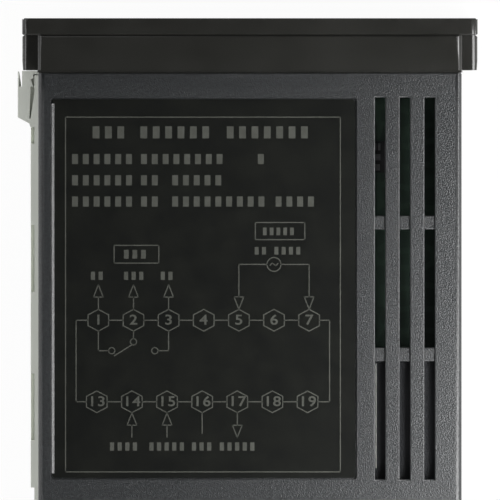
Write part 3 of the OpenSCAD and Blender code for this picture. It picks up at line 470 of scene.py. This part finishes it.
def drawRing(bm, centre, radius, width, sides, stretch=1.0):
    made = bmesh.ops.create_circle(bm, cap_ends=True, radius=radius + width / 2, segments=sides,
                                   matrix=stretched(centre, stretch))
    disc = made["verts"][0].link_faces[0]
    bmesh.ops.inset_region(bm, faces=[disc], thickness=width, use_boundary=True, use_even_offset=True)
    bmesh.ops.delete(bm, geom=[disc], context="FACES")


def drawText(bm, words, centre, height):
    curve = bpy.data.curves.new("lettering", "FONT")
    curve.body = words
    curve.align_x, curve.align_y = "CENTER", "CENTER"
    curve.size = height / printSet["heightShare"]
    curve.offset = height * printSet["boldShare"]
    curve.space_character = printSet["spacing"]
    letters = bpy.data.objects.new("lettering", curve)
    flat = bpy.data.meshes.new_from_object(letters)
    flat.transform(stretched(centre, printSet["widen"]))
    bm.from_mesh(flat)
    bpy.data.objects.remove(letters)
    bpy.data.meshes.remove(flat)


# Lays a print on the part: its zero point in millimetres, and where its x and y run
def layPrint(bm, at, right, up):
    bmesh.ops.recalc_face_normals(bm, faces=bm.faces)
    for face in bm.faces:
        if face.normal.z < 0:
            face.normal_flip()
    thicken(bm, (0, 0, printSet["skinMm"]))
    right, up = Vector(right), Vector(up)
    axes = Matrix((right, up, right.cross(up))).transposed().to_4x4()
    bmesh.ops.transform(bm, matrix=Matrix.Scale(mm, 4) @ Matrix.Translation(at) @ axes, verts=bm.verts)
    bmesh.ops.recalc_face_normals(bm, faces=bm.faces)


# Wiring diagram on the label. Its zero point is the border's corner by the bezel and the clip; x runs to the vents
# and y to the rear. A row of marks has its middle, height, pitch and where its groups start and end.
diagram = {
    "at": (29.16, 7.43, sheetHigh.z), "line": 0.175, "scale": 1.004, "border": (43.3, 55.9),
    "hexStarts": (5.17, 4.92), "hexPitch": 5.535, "hexRadius": 1.73, "stretch": 1.09, "hexRows": (32.0, 44.85),
    "firstNumbers": (1, 13), "perRow": 7, "numberHeight": 1.55, "sides": (1.66, 41.6), "arrow": (0.76, 1.95),
    "outTip": 26.4, "inTail": 50.4, "commonEnd": 49.8, "supplyTip": 50.5,
    "boxes": [((7.66, 20.2), (14.7, 23.0)), ((29.9, 16.6), (37.7, 19.3))],
    "rows": [(2.4, 1.9, 1.95, [(4.27, 10.0), (11.8, 23.6), (25.4, 39.3)]),
             (6.6, 1.6, 1.7, [(1.03, 11.2), (11.9, 25.9), (30.3, 32.1)]),
             (9.95, 1.6, 1.7, [(1.03, 11.2), (11.9, 15.4), (16.8, 26.1)]),
             (13.3, 1.6, 1.7, [(1.03, 11.2), (11.9, 15.4), (16.8, 31.5), (33.1, 39.7)]),
             (21.6, 1.4, 1.35, [(9.2, 13.3)]), (18.0, 1.2, 1.07, [(31.1, 36.5)]),
             (21.05, 1.2, 1.15, [(29.8, 32.1), (32.9, 37.5)]),
             (25.0, 1.3, 1.2, [(4.0, 6.4), (9.2, 12.8), (15.0, 17.4)]),
             (51.9, 1.3, 1.2, [(7.0, 11.9), (13.2, 19.3), (19.9, 23.5), (24.3, 30.3)])],
    "markShare": 0.55,
}
ink = diagram["line"]
bm = bmesh.new()


def at(x, y):
    return (x * diagram["scale"], -y * diagram["scale"])  # written downwards from the border's upper edge


def hexRow(start):
    return [start + i * diagram["hexPitch"] for i in range(diagram["perRow"])]


rowA, rowB = diagram["hexRows"]
hexX, hexLow = (hexRow(start) for start in diagram["hexStarts"])
radius = diagram["hexRadius"]
reach = radius * diagram["stretch"] * math.cos(math.pi / 6)  # half a hexagon's width across its flats
drawFrame(bm, at(0, 0), at(*diagram["border"]), ink)
for y, first, row in zip((rowA, rowB), diagram["firstNumbers"], (hexX, hexLow)):
    for i, x in enumerate(row):
        drawRing(bm, at(x, y), radius, ink, 6, diagram["stretch"])
        drawText(bm, str(first + i), at(x, y), diagram["numberHeight"])
        if i:
            drawBar(bm, at(row[i - 1] + reach, y), at(x - reach, y), ink)
for x, end in zip(diagram["sides"], (0, -1)):
    gap = reach if end else -reach
    drawPath(bm, [at(hexX[end] + gap, rowA), at(x, rowA), at(x, rowB), at(hexLow[end] + gap, rowB)], ink)


def drawArrow(tip, tail, x):
    half, length = diagram["arrow"]
    back = tip + math.copysign(length, tail - tip)
    drawPath(bm, [at(x, tip), at(x - half, back), at(x + half, back), at(x, tip)], ink)
    drawBar(bm, at(x, back), at(x, tail), ink)


# supply source above terminals 5 and 7: a circle with a wave, and the level of its wires
source = {"level": 23.2, "radius": 1.1, "sides": 28,
          "wave": [(-0.6, 23.35), (-0.3, 22.95), (0.3, 23.45), (0.6, 23.05)]}
for x in hexX[:3]:
    drawArrow(diagram["outTip"], rowA - radius, x)
for x in (hexX[4], hexX[6]):
    drawArrow(rowA - radius, source["level"], x)
for x in hexLow[1:3]:
    drawArrow(rowB + radius, diagram["inTail"], x)
drawBar(bm, at(hexLow[3], rowB + radius), at(hexLow[3], diagram["commonEnd"]), ink)
drawArrow(diagram["supplyTip"], rowB + radius, hexLow[4])
for corner, opposite in diagram["boxes"]:
    drawFrame(bm, at(*corner), at(*opposite), ink)
# changeover contact under terminals 1 to 3: a wire, a ring at its end, and the blade between the middle and left ring
contact = {"level": 36.8, "ring": 0.5, "sides": 16, "leftX": (6.75, 7.27), "rightX": (14.06, 14.6),
           "wireEnd": 34.9, "ringY": 35.4, "bladeTop": (0.3, 35.9), "bladeEnd": (7.7, 37.6)}
level = contact["level"]
drawPath(bm, [at(hexX[0], rowA + radius), at(hexX[0], level), at(contact["leftX"][0], level)], ink)
drawRing(bm, at(contact["leftX"][1], level), contact["ring"], ink, contact["sides"])
drawBar(bm, at(hexX[1], rowA + radius), at(hexX[1], contact["wireEnd"]), ink)
drawRing(bm, at(hexX[1], contact["ringY"]), contact["ring"], ink, contact["sides"])
drawBar(bm, at(hexX[1] - contact["bladeTop"][0], contact["bladeTop"][1]), at(*contact["bladeEnd"]), ink)
drawRing(bm, at(contact["rightX"][0], level), contact["ring"], ink, contact["sides"])
drawPath(bm, [at(contact["rightX"][1], level), at(hexX[2], level), at(hexX[2], rowA + radius)], ink)
sourceX, level = (hexX[4] + hexX[6]) / 2, source["level"]
drawBar(bm, at(hexX[4], level), at(sourceX - source["radius"], level), ink)
drawBar(bm, at(sourceX + source["radius"], level), at(hexX[6], level), ink)
drawRing(bm, at(sourceX, level), source["radius"], ink, source["sides"])
drawPath(bm, [at(sourceX + x, y) for x, y in source["wave"]], ink)
# plain marks in rows
for y, tall, pitch, groups in diagram["rows"]:
    low, high = y + tall / 2, y - tall / 2
    for start, end in groups:
        for i in range(round((end - start) / pitch)):
            x = start + i * pitch
            stop = x + pitch * diagram["markShare"]
            drawShape(bm, [at(x, low), at(stop, low), at(stop, high), at(x, high)])
layPrint(bm, diagram["at"], (-1, 0, 0), (0, -1, 0))
makePiece(bm, "labelPrint", "housing", "labelInk")
print("label printed")

# Plain marks on the supply chip, seen through the slot next to the label
chipSet = {"marks": [((-20.7, 11.6), (-20.3, 12.7)), ((-20.05, 11.6), (-19.6, 12.7)),
                     ((-20.7, 13.3), (-19.6, 14.3)), ((-20.6, 14.9), (-19.5, 15.9))]}
bm = bmesh.new()
for (left, low), (right, high) in chipSet["marks"]:
    drawShape(bm, [(left, low), (right, low), (right, high), (left, high)])
layPrint(bm, (0, 0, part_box("supply_chip")[1].z / mm), (1, 0, 0), (0, 1, 0))
makePiece(bm, "chipMarks", "housing", "chipInk")

# Symbols on the keys: a square, two arrow heads and a turning arrow
symbols = {"ink": 0.32, "size": 1.15, "backShare": 0.7, "arc": 0.95, "arcStart": 130, "arcStep": 10, "arcPoints": 29,
           "head": 0.62, "headShare": 1.5}
size, back = symbols["size"], symbols["size"] * symbols["backShare"]
for key in keySet["colours"]:
    low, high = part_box(f"{key}_key")
    middle = (low + high) / 2 / mm
    bm = bmesh.new()
    if key == "set":
        drawFrame(bm, (-size, -size), (size, size), symbols["ink"])
    elif key == "shift":
        drawShape(bm, [(-size, 0), (back, -size), (back, size)])
    elif key == "raise":
        drawShape(bm, [(0, size), (-size, -back), (size, -back)])
    else:
        turns = [math.radians(symbols["arcStart"] - symbols["arcStep"] * i) for i in range(symbols["arcPoints"])]
        inner, outer = symbols["arc"] - symbols["ink"] / 2, symbols["arc"] + symbols["ink"] / 2
        drawShape(bm, [(outer * math.cos(t), outer * math.sin(t)) for t in turns] +
                  [(inner * math.cos(t), inner * math.sin(t)) for t in reversed(turns)])
        tip, head = turns[-1], symbols["head"]
        out, on = Vector((math.cos(tip), math.sin(tip))), Vector((math.sin(tip), -math.cos(tip)))
        spot = out * symbols["arc"]
        drawShape(bm, [spot + out * head, spot + on * head * symbols["headShare"], spot - out * head])
    layPrint(bm, (middle.x, low.y / mm + keySet["dishMm"], middle.z), (1, 0, 0), (0, 0, 1))
    makePiece(bm, f"{key}Mark", f"{key}_button", "keyInk")

# Unlit segments on the digit modules, three figures to a module
figures = {"slant": 8.0, "gapMm": 0.12, "dotShare": 0.75, "dotSides": 18,
           "upper": {"at": [(-12.55, 17.25), (12.55, 17.25)], "pitch": 8.2, "size": (5.0, 9.6), "bar": 1.05},
           "lower": {"at": [(-11.35, 2.75), (11.35, 2.75)], "pitch": 7.3, "size": (3.9, 7.2), "bar": 0.8}}
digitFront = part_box("upper_digits")[0].y / mm
slope = math.tan(math.radians(figures["slant"]))
dotTurns = [math.radians(360 / figures["dotSides"] * k) for k in range(figures["dotSides"])]


# Pointed bar from a to b that leans with the figure, whose middle is at the height z
def drawSegment(bm, a, b, width, z):
    a, b = Vector(a), Vector(b)
    along = (b - a).normalized()
    a, b = a + along * figures["gapMm"], b - along * figures["gapMm"]
    along, side = along * width / 2, Vector((-along.y, along.x)) * width / 2
    ends = [a, a + along + side, b - along + side, b, b - along - side, a + along - side]
    drawShape(bm, [(p.x + (p.y - z) * slope, p.y) for p in ends])


bm = bmesh.new()
for plan in (figures["upper"], figures["lower"]):
    wide, tall = plan["size"]
    for x, z in plan["at"]:
        foot, head = z - tall / 2, z + tall / 2
        for i in (-1, 0, 1):
            left, right = x + i * plan["pitch"] - wide / 2, x + i * plan["pitch"] + wide / 2
            for y in (foot, z, head):
                drawSegment(bm, (left, y), (right, y), plan["bar"], z)
            for end in (left, right):
                drawSegment(bm, (end, foot), (end, z), plan["bar"], z)
                drawSegment(bm, (end, z), (end, head), plan["bar"], z)
            dot = Vector((right + plan["bar"] * figures["dotShare"], foot))
            drawShape(bm, [dot + Vector((math.cos(t), math.sin(t))) * plan["bar"] / 2 for t in dotTurns])
layPrint(bm, (0, digitFront, 0), (1, 0, 0), (0, 0, 1))
makePiece(bm, "segmentFaces", "housing", "segmentEpoxy")

# Output numbers beside the lamps, terminal numbers on the middle of the terminal base
numbers = {"lampGap": 1.6, "lampHeight": 1.9, "rowZ": 11.6, "rearHeight": 2.2, "blockDrop": 0.6, "headWide": 5.6}
bm = bmesh.new()
lampLow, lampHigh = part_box("indicator_lamps")
lampRow, lampEdge = (lampLow + lampHigh).z / 2 / mm, lampHigh.x / mm
for words, x in (("1", -lampEdge), ("2", lampEdge)):
    drawText(bm, words, (x + math.copysign(numbers["lampGap"], x), lampRow), numbers["lampHeight"])
layPrint(bm, (0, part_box("front_bezel")[0].y / mm, 0), (1, 0, 0), (0, 0, 1))
makePiece(bm, "lampNumbers", "housing", "keyInk")
screwLow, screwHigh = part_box("terminal_screws")
perRow = diagram["perRow"]
pitch = ((screwHigh - screwLow).x / mm - numbers["headWide"]) / (perRow - 1)
bm = bmesh.new()
for first, z in zip(diagram["firstNumbers"], (numbers["rowZ"], -numbers["rowZ"])):
    for i in range(perRow):
        drawText(bm, str(first + i), ((i - perRow // 2) * pitch, z), numbers["rearHeight"])
layPrint(bm, (0, baseEnd - numbers["blockDrop"], 0), (-1, 0, 0), (0, 0, 1))
makePiece(bm, "terminalNumbers", "housing", "keyInk")
print("front and rear printed")

# Materials of the nodes that stay as they are; those not listed are chips and switches
dress = {
    "display_window": "smokedAcrylic", "indicator_lamps": "lampEpoxy",
    "display_board": "solderResist", "power_board": "solderResist", "signal_board": "solderResist",
    "upper_digits": "digitFace", "lower_digits": "digitFace",
    "transformer_core": "siliconSteel", "transformer_bobbin": "coilTape", "output_relay": "relayCover",
    "filter_capacitors": "canSleeve", "fuse": "fuseBrown", "varistor": "varistorEpoxy",
    "insulating_cover": "pressboard", "crystal": "zincSteel", "board_screws": "zincSteel",
    "header_pins": "tinnedBrass", "terminal_tags": "tinnedBrass", "wiring_label": "labelFilm",
}
for name, node in nodes.items():
    if not node.hide_render:
        node.data.materials.clear()
        node.data.materials.append(finish[dress.get(name, "chipEpoxy")])
print("nodes dressed")


# Stage: white floor under the object, seen white also in mirrors and through panes

def seenRays(tree):
    rays = addNode(tree, "ShaderNodeLightPath", {}, {})
    both = addNode(tree, "ShaderNodeMath", {"operation": "ADD", "use_clamp": True}, {
        0: rays.outputs["Is Camera Ray"], 1: rays.outputs["Is Glossy Ray"]})
    return addNode(tree, "ShaderNodeMath", {"operation": "ADD", "use_clamp": True}, {
        0: both.outputs[0], 1: rays.outputs["Is Transmission Ray"]}).outputs[0]


white = (1, 1, 1, 1)
floorSet = {"size": 3.0, "dropMm": 0.05, "colour": "#f4f4f2", "rough": 0.9, "shadowShare": 0.05}
bm = bmesh.new()
bmesh.ops.create_grid(bm, x_segments=1, y_segments=1, size=floorSet["size"],
                      matrix=Matrix.Translation((0, 0, cadBox[0].z - floorSet["dropMm"] * mm)))
mesh = bpy.data.meshes.new("floor")
bm.to_mesh(mesh)
bm.free()
floor = addObject("floor", mesh)
mat, tree, base, place = startMaterial("whitePaper", {
    "Base Color": linear(floorSet["colour"]), "Roughness": floorSet["rough"]})
glow = addNode(tree, "ShaderNodeEmission", {}, {"Color": white, "Strength": 1.0})
share = addNode(tree, "ShaderNodeMath", {"operation": "MULTIPLY"}, {
    0: seenRays(tree), 1: 1 - floorSet["shadowShare"]})
blendIn = addNode(tree, "ShaderNodeMixShader", {}, {
    "Fac": share.outputs[0], 1: base.outputs[0], 2: glow.outputs[0]})
tree.links.new(blendIn.outputs[0], tree.nodes["Material Output"].inputs["Surface"])
mesh.materials.append(mat)

# World: a white sweep round the table under a dim ceiling, weaker where it lights the object than where it is seen
worldSet = {"wall": 0.3, "seenWall": 1.0, "ceiling": 0.05, "turn": (0.15, 0.5)}
world = bpy.data.worlds.new("studio")
bpy.context.scene.world = world
world.use_nodes = True
tree = world.node_tree
tree.nodes.clear()
way = addNode(tree, "ShaderNodeTexCoord", {}, {})
height = addNode(tree, "ShaderNodeSeparateXYZ", {}, {0: way.outputs["Generated"]})
fields = []
for wall in (worldSet["wall"], worldSet["seenWall"]):
    level = addNode(tree, "ShaderNodeMapRange", {}, {
        "Value": height.outputs["Z"], "From Min": worldSet["turn"][0], "From Max": worldSet["turn"][1],
        "To Min": wall, "To Max": worldSet["ceiling"]})
    field = addNode(tree, "ShaderNodeBackground", {}, {"Color": white, "Strength": level.outputs[0]})
    fields.append(field.outputs[0])
pick = addNode(tree, "ShaderNodeMixShader", {}, {"Fac": seenRays(tree), 1: fields[0], 2: fields[1]})
addNode(tree, "ShaderNodeOutputWorld", {}, {"Surface": pick.outputs[0]})

# Lights: a near, long soft box above the vent side, and weaker ones at the clip side, front and rear.
# The clip's own box stands with the fill and has no gloss, so that it lifts the pale clip and not the black pieces.
lights = {
    "keyBox": {"at": (-0.08, 0.066, 0.1), "to": (0, 0.044, 0.03), "size": (0.16, 0.065), "watts": 0.375},
    "fillBox": {"at": (0.30, 0.03, 0.20), "to": (0, 0.03, 0.0), "size": (0.30, 0.08), "watts": 0.3},
    "clipBox": {"at": (0.30, 0.03, 0.20), "to": (0, 0.03, 0.0), "size": (0.30, 0.08), "watts": 0.64},
    "frontBox": {"at": (0.0, -0.36, 0.28), "to": (0, 0.03, 0.0), "size": (0.40, 0.16), "watts": 0.45},
    "rearBox": {"at": (0.0, 0.42, 0.30), "to": (0, 0.03, 0.0), "size": (0.40, 0.16), "watts": 0.6},
}
for name, box in lights.items():
    lamp = bpy.data.lights.new(name, "AREA")
    lamp.shape = "RECTANGLE"
    lamp.size, lamp.size_y = box["size"]
    lamp.energy = box["watts"]
    holder = addObject(name, lamp)
    holder.location = box["at"]
    holder.rotation_euler = (Vector(box["to"]) - Vector(box["at"])).to_track_quat("-Z", "Y").to_euler()
    holder.visible_camera = False
    holder.visible_glossy = name != "clipBox"

# Camera: above the labelled side, leaning a little to the front, the bezel at the picture's upper edge
cameraSet = {"aimMm": (-0.02, 28.42, 36.0), "distanceMm": 2500.0, "leanDeg": 0.6, "frameMm": 79.0, "sensorMm": 36.0,
             "clip": (0.05, 10.0)}
cam = bpy.data.cameras.new("camera")
cam.sensor_width = cameraSet["sensorMm"]
cam.lens = cameraSet["sensorMm"] * cameraSet["distanceMm"] / cameraSet["frameMm"]
cam.clip_start, cam.clip_end = cameraSet["clip"]
camera = addObject("camera", cam)
lean = math.radians(cameraSet["leanDeg"])
away = Vector((0, -math.sin(lean), math.cos(lean))) * cameraSet["distanceMm"]
camera.location = (Vector(cameraSet["aimMm"]) + away) * mm
camera.rotation_euler = (-lean, 0, math.pi)
bpy.context.scene.camera = camera
bpy.context.scene.view_settings.view_transform = "Standard"

print("scene ready")
